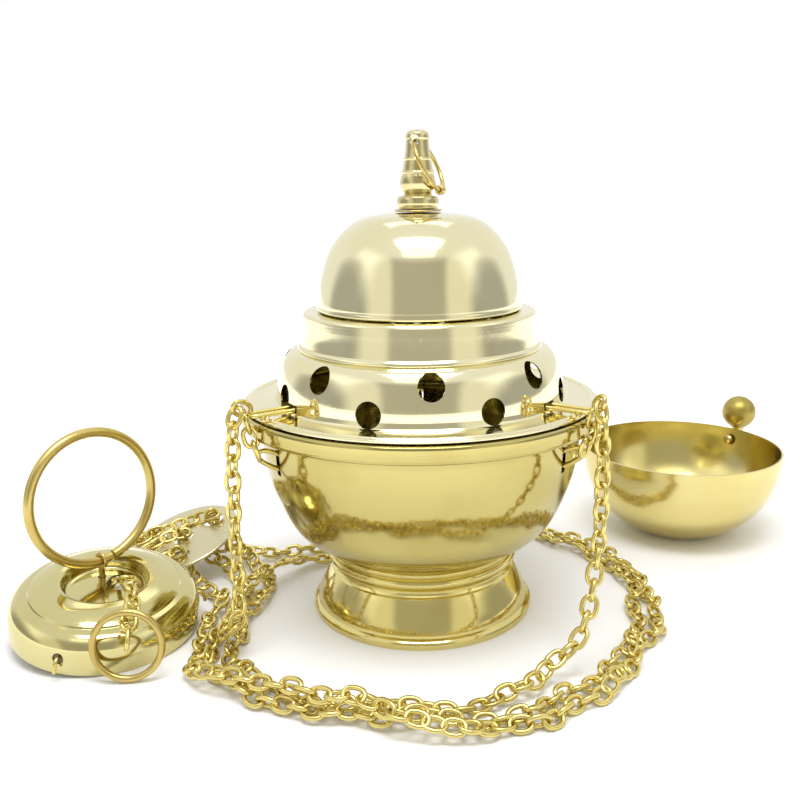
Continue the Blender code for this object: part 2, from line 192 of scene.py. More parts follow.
class Graph:
    """The nodes of one material, or of the world."""

    def __init__(self, tree: Any) -> None:
        """Takes a node tree and empties it."""
        self.tree = tree
        tree.nodes.clear()

    def add(self, kind: str, settings: dict[str, Any] | None = None, values: dict[Any, Any] | None = None,
            output: Any = 0) -> Signal:
        """Adds a node.

        Args:
            kind: The node's type name.
            settings: Its properties, set first. stops is a ramp's list of (place, colour).
            values: A number, colour or signal for each socket, by its name or place.
            output: The name or place of the socket that is returned.

        Returns:
            The chosen output.
        """
        node = self.tree.nodes.new(kind)
        for name, value in (settings or {}).items():
            if name == "stops":
                self._fill_ramp(node.color_ramp, value)
            else:
                setattr(node, name, value)
        for key, value in (values or {}).items():
            if isinstance(value, Signal):
                self.tree.links.new(value.socket, node.inputs[key])
            else:
                node.inputs[key].default_value = value
        return Signal(self, node.outputs[output] if len(node.outputs) else None)

    @staticmethod
    def _fill_ramp(ramp: Any, stops: list[tuple[float, tuple[float, float, float]]]) -> None:
        """Gives a colour ramp its stops."""
        while len(ramp.elements) < len(stops):
            ramp.elements.new(0.5)
        for element, (place, colour) in zip(ramp.elements, stops):
            element.position = place
            element.color = (*colour, 1.0)

    def mix(self, share: Any, first: Any, second: Any) -> Signal:
        """Mixes two colours.

        Args:
            share: How much of the second there is.
            first: A colour or a signal.
            second: A colour or a signal.

        Returns:
            The mixed colour.
        """
        colours = {6: self.colour(first), 7: self.colour(second)}
        return self.add("ShaderNodeMix", {"data_type": "RGBA"}, {0: share, **colours}, output=2)

    @staticmethod
    def colour(value: Any) -> Any:
        """Gives a plain colour its fourth number, and leaves a signal alone."""
        return value if isinstance(value, Signal) else (*value, 1.0)


# ---------------------------------------------------------------- finishes


class Marks(Enum):
    """How a piece was worked, which decides the way its fine marks run."""

    TURNED = "turned"
    DRAWN = "drawn"


@dataclass(frozen=True)
class Brass:
    """A brass finish: its colour, its shine and its fine marks."""

    name: str
    colour: tuple[float, float, float]
    deep: tuple[float, float, float]
    shine: float
    marks: Marks = Marks.TURNED
    mottle: float = 0.35
    relief: float = 0.05

    def material(self) -> Any:
        """Builds the material once and returns it each time."""
        made = bpy.data.materials.get(self.name)
        if made:
            return made
        made = bpy.data.materials.new(self.name)
        made.use_nodes = True
        graph = Graph(made.node_tree)
        place = graph.add("ShaderNodeTexCoord", output="Object")
        clouds = self._noise(graph, place, 38.0, 5.0)
        specks = self._noise(graph, place, 420.0, 3.0)
        marks = self._marks(graph, place)
        tarnish = (clouds.between(0.42, 0.74) * self.mottle + specks.between(0.6, 0.8) * 0.12)
        base = graph.mix(tarnish, self.colour, self.deep)
        rough = self.shine + clouds * 0.05 + specks.between(0.55, 0.75) * 0.05 + marks * 0.05
        height = marks * 0.6 + specks * 0.4
        bump = graph.add("ShaderNodeBump", None, {"Strength": self.relief, "Distance": 0.0002, "Height": height})
        shader = graph.add("ShaderNodeBsdfPrincipled", None, {
            "Base Color": base, "Metallic": 1.0, "Roughness": rough, "Normal": bump})
        graph.add("ShaderNodeOutputMaterial", None, {"Surface": shader})
        return made

    @staticmethod
    def _noise(graph: Graph, place: Any, scale: float, detail: float) -> Signal:
        """Adds a noise of the given scale."""
        return graph.add("ShaderNodeTexNoise", None, {"Vector": place, "Scale": scale, "Detail": detail})

    def _marks(self, graph: Graph, place: Signal) -> Signal:
        """Makes the fine lines that the tool left: round the axis on a turned piece, along it on wire."""
        part = [graph.add("ShaderNodeSeparateXYZ", None, {0: place}, output=k) for k in range(3)]
        if self.marks is Marks.TURNED:
            radius = (part[0] * part[0] + part[1] * part[1]) ** 0.5
            lines = graph.add("ShaderNodeCombineXYZ", None, {0: radius, 1: part[2]})
            return self._noise(graph, lines, 1500.0, 4.0)
        squeezed = graph.add("ShaderNodeVectorMath", {"operation": "MULTIPLY"}, {0: place, 1: (1.0, 1.0, 0.25)})
        return self._noise(graph, squeezed, 900.0, 4.0)


BOWL_BRASS = Brass("bowl brass", (0.53, 0.455, 0.17), (0.40, 0.31, 0.08), 0.055)
FOOT_BRASS = Brass("foot brass", (0.72, 0.62, 0.25), (0.58, 0.45, 0.13), 0.055)
LID_BRASS = Brass("lid brass", (0.83, 0.77, 0.50), (0.74, 0.65, 0.34), 0.045)
CAP_BRASS = Brass("cap brass", (0.64, 0.58, 0.28), (0.53, 0.44, 0.15), 0.06)
PAN_BRASS = Brass("pan brass", (0.75, 0.65, 0.28), (0.62, 0.49, 0.14), 0.12)
PLATE_BRASS = Brass("plate brass", (0.68, 0.63, 0.41), (0.58, 0.49, 0.24), 0.22)
KNOB_BRASS = Brass("knob brass", (0.44, 0.34, 0.09), (0.36, 0.26, 0.05), 0.36)
FINIAL_BRASS = Brass("finial brass", (0.68, 0.60, 0.32), (0.46, 0.35, 0.13), 0.1, mottle=0.5)
RING_BRASS = Brass("ring brass", (0.60, 0.47, 0.16), (0.44, 0.31, 0.08), 0.24, Marks.DRAWN, 0.6, 0.1)
CHAIN_BRASS = Brass("chain brass", (0.74, 0.62, 0.22), (0.56, 0.43, 0.12), 0.2, Marks.DRAWN, 0.6, 0.12)
FIXING_BRASS = Brass("fixing brass", (0.58, 0.46, 0.20), (0.42, 0.31, 0.12), 0.3)


# ---------------------------------------------------------------- lines


def through(points: Sequence[Sequence[float]], per: int = 8) -> np.ndarray:
    """Draws a smooth line through the points.

    Args:
        points: The points, of two or three numbers each.
        per: How many steps there are between two points.

    Returns:
        The line's points, from the first given to the last.
    """
    p = np.array(points, float)
    if len(p) < 3:
        return p
    p = np.vstack([2 * p[0] - p[1], p, 2 * p[-1] - p[-2]])
    line = []
    for a, b, c, d in zip(p, p[1:], p[2:], p[3:]):
        for t in np.arange(per) / per:
            line.append(0.5 * (2 * b + (c - a) * t + (2 * a - 5 * b + 4 * c - d) * t * t
                               + (3 * b - 3 * c + d - a) * t**3))
    return np.vstack([line, p[-2]])


def spaced(line: np.ndarray, step: float) -> np.ndarray:
    """Moves along a line in even steps.

    Args:
        line: The line's points.
        step: The wanted distance between two points of the result.

    Returns:
        Points that lie evenly along it.
    """
    run = np.concatenate([[0], np.cumsum(np.linalg.norm(np.diff(line, axis=0), axis=1))])
    places = np.linspace(0, run[-1], max(2, round(run[-1] / step) + 1))
    return np.stack([np.interp(places, run, line[:, k]) for k in range(line.shape[1])], axis=1)


def length_of(line: np.ndarray) -> float:
    """Adds up a line's length."""
    return float(np.linalg.norm(np.diff(line, axis=0), axis=1).sum())


def rounded(line: np.ndarray, radius: float, steps: int = 4, sharp: float = 12.0) -> np.ndarray:
    """Rounds the corners of an open outline.

    Args:
        line: The outline's points.
        radius: The size of the rounding.
        steps: How many points each corner gets.
        sharp: The least turn, in degrees, that counts as a corner.

    Returns:
        The outline with a small arc at each corner.
    """
    made = [line[0]]
    for before, corner, after in zip(line, line[1:], line[2:]):
        back, on = before - corner, after - corner
        reach = min(radius, np.linalg.norm(back) * 0.45, np.linalg.norm(on) * 0.45)
        back, on = back / np.linalg.norm(back), on / np.linalg.norm(on)
        if math.degrees(math.acos(np.clip(-back @ on, -1, 1))) < sharp:
            made.append(corner)
            continue
        for t in np.linspace(0, 1, steps):
            made.append(corner + reach * (back * (1 - t) ** 2 + on * t**2))
    return np.array([*made, line[-1]])


def shell(runs: Sequence[Sequence[tuple[float, float]]], thickness: float, soften: float = 0.35) -> np.ndarray:
    """Makes the closed outline of a sheet.

    Args:
        runs: The sheet's outer side, as smooth runs of (radius, height) that meet at corners.
        thickness: How thick it is, inwards.
        soften: The rounding of its corners.

    Returns:
        The outer side and then the inner side, back to the start.
    """
    outer = [np.array(runs[0][0], float)[None]]
    for run in runs:
        outer.append(through(run)[1:] if len(run) > 1 else np.array(run, float))
    line = np.vstack(outer)
    keep = np.concatenate([[True], np.linalg.norm(np.diff(line, axis=0), axis=1) > 1e-6])
    line = line[keep]
    along = np.diff(line, axis=0)
    along /= np.linalg.norm(along, axis=1)[:, None]
    inward = np.stack([along[:, 1], -along[:, 0]], axis=1)
    middle = np.vstack([inward[:1], inward]) + np.vstack([inward, inward[-1:]])
    inner = line + thickness * 2 * middle / (middle**2).sum(axis=1)[:, None]
    return np.vstack([rounded(line, soften), rounded(inner[::-1], soften)])


# ---------------------------------------------------------------- meshes


def mesh_from(name: str, points: np.ndarray, faces: Iterable[Sequence[int]], sharp: float = 32.0) -> Any:
    """Makes a smooth-shaded object, in metres.

    Args:
        name: The piece's name.
        points: Its points, in millimetres.
        faces: Its faces.
        sharp: The angle, in degrees, past which an edge shows.

    Returns:
        The new object.
    """
    mesh = bpy.data.meshes.new(name)
    mesh.from_pydata((np.asarray(points) * MM).tolist(), [], [list(map(int, f)) for f in faces])
    work = bmesh.new()
    work.from_mesh(mesh)
    bmesh.ops.remove_doubles(work, verts=work.verts, dist=2e-6)
    bmesh.ops.recalc_face_normals(work, faces=work.faces)
    work.to_mesh(mesh)
    work.free()
    made = bpy.data.objects.new(name, mesh)
    bpy.context.scene.collection.objects.link(made)
    smooth(made, sharp)
    return made


def smooth(piece: Any, sharp: float = 32.0) -> None:
    """Shades a piece smooth, with its sharp edges kept."""
    piece.data.shade_smooth()
    piece.data.set_sharp_from_angle(angle=math.radians(sharp))


def lathe(name: str, outline: np.ndarray, steps: int = 160, closed: bool = True) -> Any:
    """Turns an outline about Z.

    Args:
        name: The piece's name.
        outline: Points of (radius, height); one at radius 0 lies on the axis.
        steps: How many facets go round.
        closed: Whether the outline's end joins its start.

    Returns:
        The turned piece.
    """
    outline = np.array(outline, float)
    outline[:, 0] = np.maximum(outline[:, 0], 0)
    angles = 2 * math.pi * np.arange(steps) / steps
    rings = [np.stack([r * np.cos(angles), r * np.sin(angles), np.full(steps, z)], 1) for r, z in outline]
    faces = []
    last = len(outline) if closed else len(outline) - 1
    for k in range(last):
        low, high = k * steps, ((k + 1) % len(outline)) * steps
        for s in range(steps):
            t = (s + 1) % steps
            faces.append((low + s, low + t, high + t, high + s))
    return mesh_from(name, np.vstack(rings), faces)


def frames_along(line: np.ndarray, closed: bool = False) -> tuple[np.ndarray, np.ndarray, np.ndarray]:
    """Carries a frame along a line without twisting it.

    Args:
        line: The line's points.
        closed: Whether its end joins its start.

    Returns:
        The direction and the two side directions at each point.
    """
    ahead = np.roll(line, -1, 0) - np.roll(line, 1, 0) if closed else np.gradient(line, axis=0)
    ahead /= np.linalg.norm(ahead, axis=1)[:, None]
    side = np.cross(ahead[0], (0, 0, 1.0) if abs(ahead[0][2]) < 0.9 else (1.0, 0, 0))
    sides = []
    for direction in ahead:
        side = side - direction * (side @ direction)
        side = side / np.linalg.norm(side)
        sides.append(side)
    sides = np.array(sides)
    return ahead, sides, np.cross(ahead, sides)


def tube(line: np.ndarray, radius: float, closed: bool, sides: int = 14) -> tuple[np.ndarray, list[list[int]]]:
    """Makes round wire along a line.

    Args:
        line: The wire's middle, in millimetres.
        radius: The wire's radius.
        closed: Whether its end joins its start.
        sides: How many facets go round the wire.

    Returns:
        Its points and faces.
    """
    line = np.array(line, float)
    _, across, up = frames_along(line, closed)
    angles = 2 * math.pi * np.arange(sides) / sides
    offsets = np.cos(angles)[None, :, None] * across[:, None] + np.sin(angles)[None, :, None] * up[:, None]
    points = (line[:, None] + radius * offsets).reshape(-1, 3)
    count = len(line)
    faces = []
    for k in range(count if closed else count - 1):
        low, high = k * sides, ((k + 1) % count) * sides
        faces += [[low + s, low + (s + 1) % sides, high + (s + 1) % sides, high + s] for s in range(sides)]
    if not closed:
        faces += [list(range(sides))[::-1], [(count - 1) * sides + s for s in range(sides)]]
    return points, faces


def several(parts: Sequence[tuple[np.ndarray, list[list[int]]]]) -> tuple[np.ndarray, list[list[int]]]:
    """Puts the points and faces of several shapes in one list each."""
    points, faces, start = [], [], 0
    for these, those in parts:
        points.append(these)
        faces += [[start + k for k in face] for face in those]
        start += len(these)
    return np.vstack(points), faces


def circle(radius: float, count: int = 96, start: float = 0.0, sweep: float = 360.0) -> np.ndarray:
    """Gives points on a circle in the XY plane.

    Args:
        radius: Its radius.
        count: How many points there are.
        start: The first point's angle, in degrees.
        sweep: How far round they go; the end point is left out.

    Returns:
        The points.
    """
    return np.array([polar(radius, start + sweep * k / count) for k in range(count)])


def moved(points: np.ndarray, matrix: Matrix) -> np.ndarray:
    """Takes points in millimetres through a matrix whose offset is in millimetres too."""
    m = np.array(matrix)
    return points @ m[:3, :3].T + m[:3, 3]


def carve(piece: Any, tools: Sequence[Any]) -> None:
    """Cuts the tools out of a piece and removes them.

    Args:
        piece: The piece, which keeps its own place.
        tools: The cutters, in the piece's own space.
    """
    for tool in tools:
        tool.matrix_world = piece.matrix_world @ tool.matrix_world
        modifier = piece.modifiers.new(tool.name, "BOOLEAN")
        modifier.operation = "DIFFERENCE"
        modifier.object = tool
    bpy.context.view_layer.update()
    evaluated = piece.evaluated_get(bpy.context.evaluated_depsgraph_get())
    mesh = bpy.data.meshes.new_from_object(evaluated)
    piece.modifiers.clear()
    piece.data = mesh
    for tool in tools:
        bpy.data.objects.remove(tool)
    smooth(piece)


def drill(name: str, holes: Sequence[tuple[Point, Point, float, float]], sides: int = 40) -> Any:
    """Makes one cutter of several cylinders.

    Args:
        name: The cutter's name.
        holes: The middle, direction, radius and length of each, in millimetres.
        sides: How many facets each has.

    Returns:
        The cutter.
    """
    parts = []
    for middle, direction, radius, length in holes:
        upright = Vector(direction).to_track_quat("Z", "Y").to_matrix().to_4x4()
        ends = np.vstack([circle(radius, sides) + (0, 0, z) for z in (-length / 2, length / 2)])
        faces = [[s, (s + 1) % sides, sides + (s + 1) % sides, sides + s] for s in range(sides)]
        faces += [list(range(sides))[::-1], list(range(sides, 2 * sides))]
        parts.append((moved(ends, Matrix.Translation(middle) @ upright), faces))
    return mesh_from(name, *several(parts))


def slots(name: str, boxes: Sequence[tuple[Point, float, Point]]) -> Any:
    """Makes one cutter of several boxes, each with its middle, its turn about Z and its size."""
    corners = np.array([(x, y, z) for z in (-0.5, 0.5) for y in (-0.5, 0.5) for x in (-0.5, 0.5)])
    faces = [[0, 2, 3, 1], [4, 5, 7, 6], [0, 1, 5, 4], [2, 6, 7, 3], [0, 4, 6, 2], [1, 3, 7, 5]]
    parts = [(moved(corners * size, Matrix.Translation(middle) @ turn("Z", angle)), faces)
             for middle, angle, size in boxes]
    return mesh_from(name, *several(parts))


def fit(piece: Any, body: str, finish: Brass, slot: str, *nodes: str) -> Any:
    """Finishes a piece: its material, the body it moves with and the CAD nodes it stands for.

    Args:
        piece: The piece, in its place.
        body: The CAD body it moves with.
        finish: Its finish.
        slot: The record's material slot; not used.
        nodes: The CAD nodes that it replaces.

    Returns:
        The piece.
    """
    piece.data.materials.clear()
    piece.data.materials.append(finish.material())
    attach(piece, body)
    if nodes:
        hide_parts(*nodes)
    LOG.info("%s: %d faces, on %s", piece.name, len(piece.data.polygons), body)
    return piece


def stand(piece: Any, matrix: Matrix) -> Any:
    """Puts a piece, made about its own origin, at a place in metres."""
    piece.matrix_world = matrix
    return piece


# ---------------------------------------------------------------- bowl and foot


@dataclass
class Bowl:
    """The bowl with its rim band, and the foot under it."""

    rim: float = 65.0
    rim_z: float = 79.3
    wall: float = 57.4
    floor_z: float = 26.4
    sheet: float = 0.9
    station_angles: dict[str, float] = field(default_factory=lambda: {"left": 214.0, "right": 326.0, "back": 90.0})

    def build(self) -> None:
        """Makes and dresses the bowl and the foot."""
        at = Matrix.Translation(AXIS)
        body = stand(lathe("bowl_shell", self._bowl_outline(), 224), at)
        carve(body, [slots("chain slots", [(polar(57, a, 64.6), a, (8, 2.6, 9.0))
                                           for a in self.station_angles.values()])])
        fit(body, "bowl", BOWL_BRASS, "bowl_brass", "bowl")
        fit(stand(lathe("foot_shell", self._foot_outline(), 192), at), "bowl", FOOT_BRASS, "bowl_brass", "foot")

    def _bowl_outline(self) -> np.ndarray:
        """Draws the bowl's section, from the rim's inner edge down to the hole in its floor."""
        edge = [(58.2, self.rim_z), (self.rim - 1.1, self.rim_z)]
        roll = [(self.rim - 1.1, self.rim_z), (self.rim - 0.3, self.rim_z - 0.3), (self.rim, self.rim_z - 1.1)]
        band = [(self.rim, self.rim_z - 1.1), (self.rim, 76.6), (self.rim - 0.1, 74.6)]
        under = [(self.rim - 0.1, 74.6), (64.2, 73.4), (61.5, 73.1), (58.9, 72.9), (57.8, 71.8), (57.5, 70.0)]
        side = [(57.5, 70.0), (self.wall, 65), (57.0, 60.0), (55.5, 52.8), (53.2, 46.0), (50.1, 38.8), (46.4, 33.4),
                (41.8, 29.6), (36.2, 27.2), (31.0, self.floor_z)]
        return shell([edge, roll, band, under, side, [(31.0, self.floor_z), (2.4, self.floor_z)]], self.sheet, 0.25)

    def _foot_outline(self) -> np.ndarray:
        """Draws the foot's section: the two neck beads, the cove, the flare and the stepped edge."""
        top = [(2.4, 26.1), (30.2, 26.1)]
        bead = [(30.2, 26.1), (33.2, 25.9), (34.6, 25.0), (34.9, 24.2), (34.5, 23.2)]
        ring = [(34.5, 23.2), (33.9, 22.7), (34.9, 22.0), (35.3, 20.8), (34.8, 19.6), (33.9, 18.9)]
        cove = [(33.9, 18.9), (32.9, 18.0), (32.7, 17.0), (33.4, 15.9), (34.1, 15.3)]
        flare = [(34.1, 15.3), (35.3, 13.4), (37.0, 10.4), (38.4, 7.6), (39.3, 4.8), (39.5, 3.6)]
        step = [(39.5, 3.6), (40.3, 3.1), (40.9, 2.6)]
        edge = [(40.9, 2.6), (41.25, 1.7), (41.2, 0.5), (41.0, 0.0)]
        return shell([top, bead, ring, cove, flare, step, edge, [(41.0, 0.0), (39.4, 0.0)]], self.sheet, 0.2)


# ---------------------------------------------------------------- lid


@dataclass
class Lid:
    """The lid: skirt with its tier of holes, band, dome, finial and ring."""

    flange: float = 63.2
    flange_z: float = 80.5
    tier: float = 51.5
    band_top: float = 111.5
    dome_top: float = 145.0
    sheet: float = 0.9
    hole: float = 4.3
    hole_turn: float = 4.0
    hole_rows: tuple[tuple[float, float], ...] = ((85.0, 22.5), (93.6, 0.0))
    guide_z: float = 82.65
    cross_turn: float = 18.0
    cross_z: float = 168.9

    def build(self, station_angles: dict[str, float]) -> None:
        """Makes and dresses the lid.

        Args:
            station_angles: The angle of each place where a chain passes.
        """
        at = Matrix.Translation(AXIS)
        skirt = stand(lathe("lid_skirt_shell", self._skirt_outline(), 240), at)
        holes = []
        for height, shift in self.hole_rows:
            for k in range(8):
                direction = polar(1, 45 * k + shift + self.hole_turn - 90)
                holes.append(((direction[0] * 50, direction[1] * 50, height), direction, self.hole, 14.0))
        passages = [(polar(50, a, self.guide_z), a, (6, 7.1, 2.4)) for a in station_angles.values()]
        carve(skirt, [drill("air holes", holes), slots("guide slots", passages)])
        fit(skirt, "lid", LID_BRASS, "lid_brass", "lid_skirt")
        fit(stand(lathe("lid_dome_shell", self._dome_outline(), 192), at), "lid", LID_BRASS, "lid_brass", "lid_dome")
        collar = rounded(np.array([(55.6, 79.3), (56.6, 79.3), (56.6, 73.0), (55.6, 73.0)]), 0.2)
        fit(stand(lathe("lid_collar_ring", collar, 160), at), "lid", LID_BRASS, "lid_brass", "lid_collar")
        self._finial(at)
        self._ring()

    def _skirt_outline(self) -> np.ndarray:
        """Draws the skirt's section, from the band's top down to the beaded flange."""
        top = [(33.6, self.band_top), (39.6, self.band_top)]
        edge = [(39.6, self.band_top), (40.7, self.band_top - 0.2), (41.3, 110.5)]
        band = [(41.3, 110.5), (41.5, 108.4), (41.9, 104.4), (42.5, 100.6)]
        lip = [(42.5, 100.6), (43.2, 99.9), (43.5, 99.1), (43.2, 98.7)]
        tier = [(43.2, 98.7), (45.1, 98.3), (46.9, 97.2), (48.8, 94.6), (50.2, 90.9), (51.1, 86.6), (self.tier, 82.6)]
        foot = [(self.tier, 82.6), (51.9, 81.2), (52.8, 80.6), (54.4, self.flange_z)]
        bead = [(60.1, self.flange_z), (60.5, 81.0), (61.0, 81.15), (61.5, 81.0), (61.9, 80.6)]
        rim = [(61.9, 80.6), (62.3, 80.75), (62.8, 80.7), (self.flange, 80.35), (self.flange, 79.9)]
        return shell([top, edge, band, lip, tier, foot, [(54.4, self.flange_z), (60.1, self.flange_z)], bead, rim],
                     self.sheet * 0.7, 0.2)

    def _dome_outline(self) -> np.ndarray:
        """Draws the dome's section, with the small step at its foot."""
        top = [(2.3, self.dome_top), (7.9, 144.9)]
        crown = [(7.9, 144.9), (13, 144.4), (19.4, 143.1), (24.0, 140.6), (28.0, 136.9), (31.2, 132.2),
                 (33.4, 126.6), (35.0, 120.6), (35.9, 115.6), (36.1, 113.6)]
        foot = [(36.1, 113.6), (36.3, 113.0), (36.3, 112.3), (35.7, 111.8)]
        return shell([top, crown, foot], self.sheet, 0.2)

    def _finial(self, at: Matrix) -> None:
        """Turns the finial and the thin washer under it."""
        runs = [[(0, 172.4), (1.6, 172.35), (2.9, 171.9)], [(2.9, 171.9), (3.7, 171.2), (4.0, 170.0), (3.9, 169.0)],
                [(3.9, 169.0), (4.1, 166.0), (4.5, 163.2)], [(4.5, 163.2), (4.75, 162.8), (4.6, 162.3)],
                [(4.6, 162.3), (4.9, 160.6), (5.2, 158.9)], [(5.2, 158.9), (5.5, 158.4), (5.3, 157.8)],
                [(5.3, 157.8), (5.8, 156.6), (6.1, 154.8), (5.8, 152.8), (5.0, 151.2)],
                [(5.0, 151.2), (4.9, 150.8), (5.6, 150.5)], [(5.6, 150.5), (6.7, 150.2), (7.1, 149.3)],
                [(7.1, 149.3), (7.2, 148.0), (7.0, 146.8)], [(7.0, 146.8), (6.4, 146.2), (1.9, 146.2)],
                [(1.9, 146.2), (1.9, 139.4)], [(1.9, 139.4), (0, 139.4)]]
        line = np.vstack([through(run) for run in runs])
        keep = np.concatenate([[True], np.linalg.norm(np.diff(line, axis=0), axis=1) > 1e-6])
        piece = stand(lathe("finial_post", rounded(line[keep], 0.15, sharp=25), 96, closed=False), at)
        angle = math.radians(self.cross_turn)
        along = (-math.sin(angle), -math.cos(angle), 0.0)
        carve(piece, [drill("cross hole", [((0, 0, self.cross_z), along, 1.8, 14.0)])])
        fit(piece, "lid", FINIAL_BRASS, "ring_brass", "finial")
        washer = rounded(np.array([(2.3, 145.95), (8.0, 145.95), (8.2, 145.6), (8.0, 145.3), (2.3, 145.3)]), 0.2)
        fit(stand(lathe("finial_washer_disc", washer, 96), at), "lid", FIXING_BRASS, "ring_brass", "finial_washer")

    def _ring(self) -> None:
        """Bends the wire ring through the finial, with its end wrapped round it."""
        radius, wire, wrap_wire, wrap_out = 9.2, 0.72, 0.5, 1.15
        loop = circle(radius) + (radius, 0, 0)
        turns, count = 2.5, 60
        wrap = []
        for k in range(count):
            roll = 2 * math.pi * turns * k / count
            middle = polar(radius, -8 + 16 * k / count)
            out = wrap_out * math.cos(roll)
            wrap.append((middle[0] * (1 + out / radius) + radius, middle[1] * (1 + out / radius),
                         wrap_out * math.sin(roll)))
        wires = [tube(loop, wire, True), tube(np.array(wrap), wrap_wire, False)]
        piece = mesh_from("finial_wire_ring", *several(wires))
        hang = turn("Z", -self.cross_turn) @ turn("Y", 64.0)
        stand(piece, Matrix.Translation(hinge_of("finial_ring_swing")) @ hang)
        fit(piece, "finial_ring", RING_BRASS, "ring_brass", "finial_ring")


@dataclass
class Station:
    """One place where a chain is held: the end link in the bowl's slot and the wire guide on the lid."""

    side: str
    degrees: float

    def build(self) -> None:
        """Makes and dresses the end link and the guide."""
        upright = turn("Z", self.degrees)
        link = LinkSize()
        place = Matrix.Translation(world(polar(58.7, self.degrees, 66.0))) @ upright @ turn("Y", -30) @ turn("X", 90)
        anchor = mesh_from(f"end_link_{self.side}", *tube(link.line(stretch=5.9), link.wire / 2, True))
        fit(stand(anchor, place), "bowl", CHAIN_BRASS, "chain_brass", f"anchor_link_{self.side}")
        half, width, start, end = 9.85, 2.35, 46.4, 67.6
        bend = [(math.copysign(half - width, math.cos(a)) + width * math.cos(a), width * math.sin(a), 0)
                for a in np.linspace(0, 2 * math.pi, 72, endpoint=False)]
        guide = mesh_from(f"wire_guide_{self.side}", *tube(np.array(bend), 0.75, True))
        place = Matrix.Translation(world(polar((start + end) / 2, self.degrees, 82.4))) @ upright
        fit(stand(guide, place), "lid", CHAIN_BRASS, "chain_brass", f"lid_guide_{self.side}")


# ---------------------------------------------------------------- pan


@dataclass
class Pan:
    """The loose pan with its ball knob on a bent stem."""

    radius: float = 43.3
    height: float = 38.4
    knob: float = 7.7
    knob_turn: float = 41.0

    def build(self) -> None:
        """Makes and dresses the pan, the stem and the knob."""
        at = Matrix.Translation(middle_of("pan"))
        side = [(self.radius, self.height), (43.0, 32.5), (41.4, 25.0), (38.2, 17.6), (33.4, 11.0), (27.2, 5.4),
                (20.4, 1.5), (16.0, 0.0)]
        dish = shell([side, [(16.0, 0.0), (0.0, 0.0)]], 0.9, 0.25)
        fit(stand(lathe("pan_dish", dish, 192), at), "pan", PAN_BRASS, "pan_brass", "pan")
        facing = at @ turn("Z", self.knob_turn)
        bend = [(43.3, 0, 32.6), (45.6, 0, 32.9), (48.0, 0, 34.4), (49.1, 0, 36.6), (49.3, 0, 39.4)]
        stem = spaced(through(bend), 0.5)
        fit(stand(mesh_from("pan_stem_rod", *tube(stem, 2.5, False, 24)), facing), "pan", RING_BRASS, "pan_brass",
            "pan_stem")
        ball = [(self.knob * math.cos(a), 45.4 + self.knob * math.sin(a))
                for a in np.linspace(math.pi / 2, -math.pi / 3.1, 40)]
        foot = [(3.9, 38.6), (3.6, 38.3), (0.0, 38.3)]
        knob = lathe("pan_knob_ball", np.array([*ball, *foot]), 96, closed=False)
        fit(stand(knob, facing @ Matrix.Translation(Vector((49.3, 0, 0)) * MM)), "pan", KNOB_BRASS, "pan_brass",
            "pan_knob")


# ---------------------------------------------------------------- hand cap


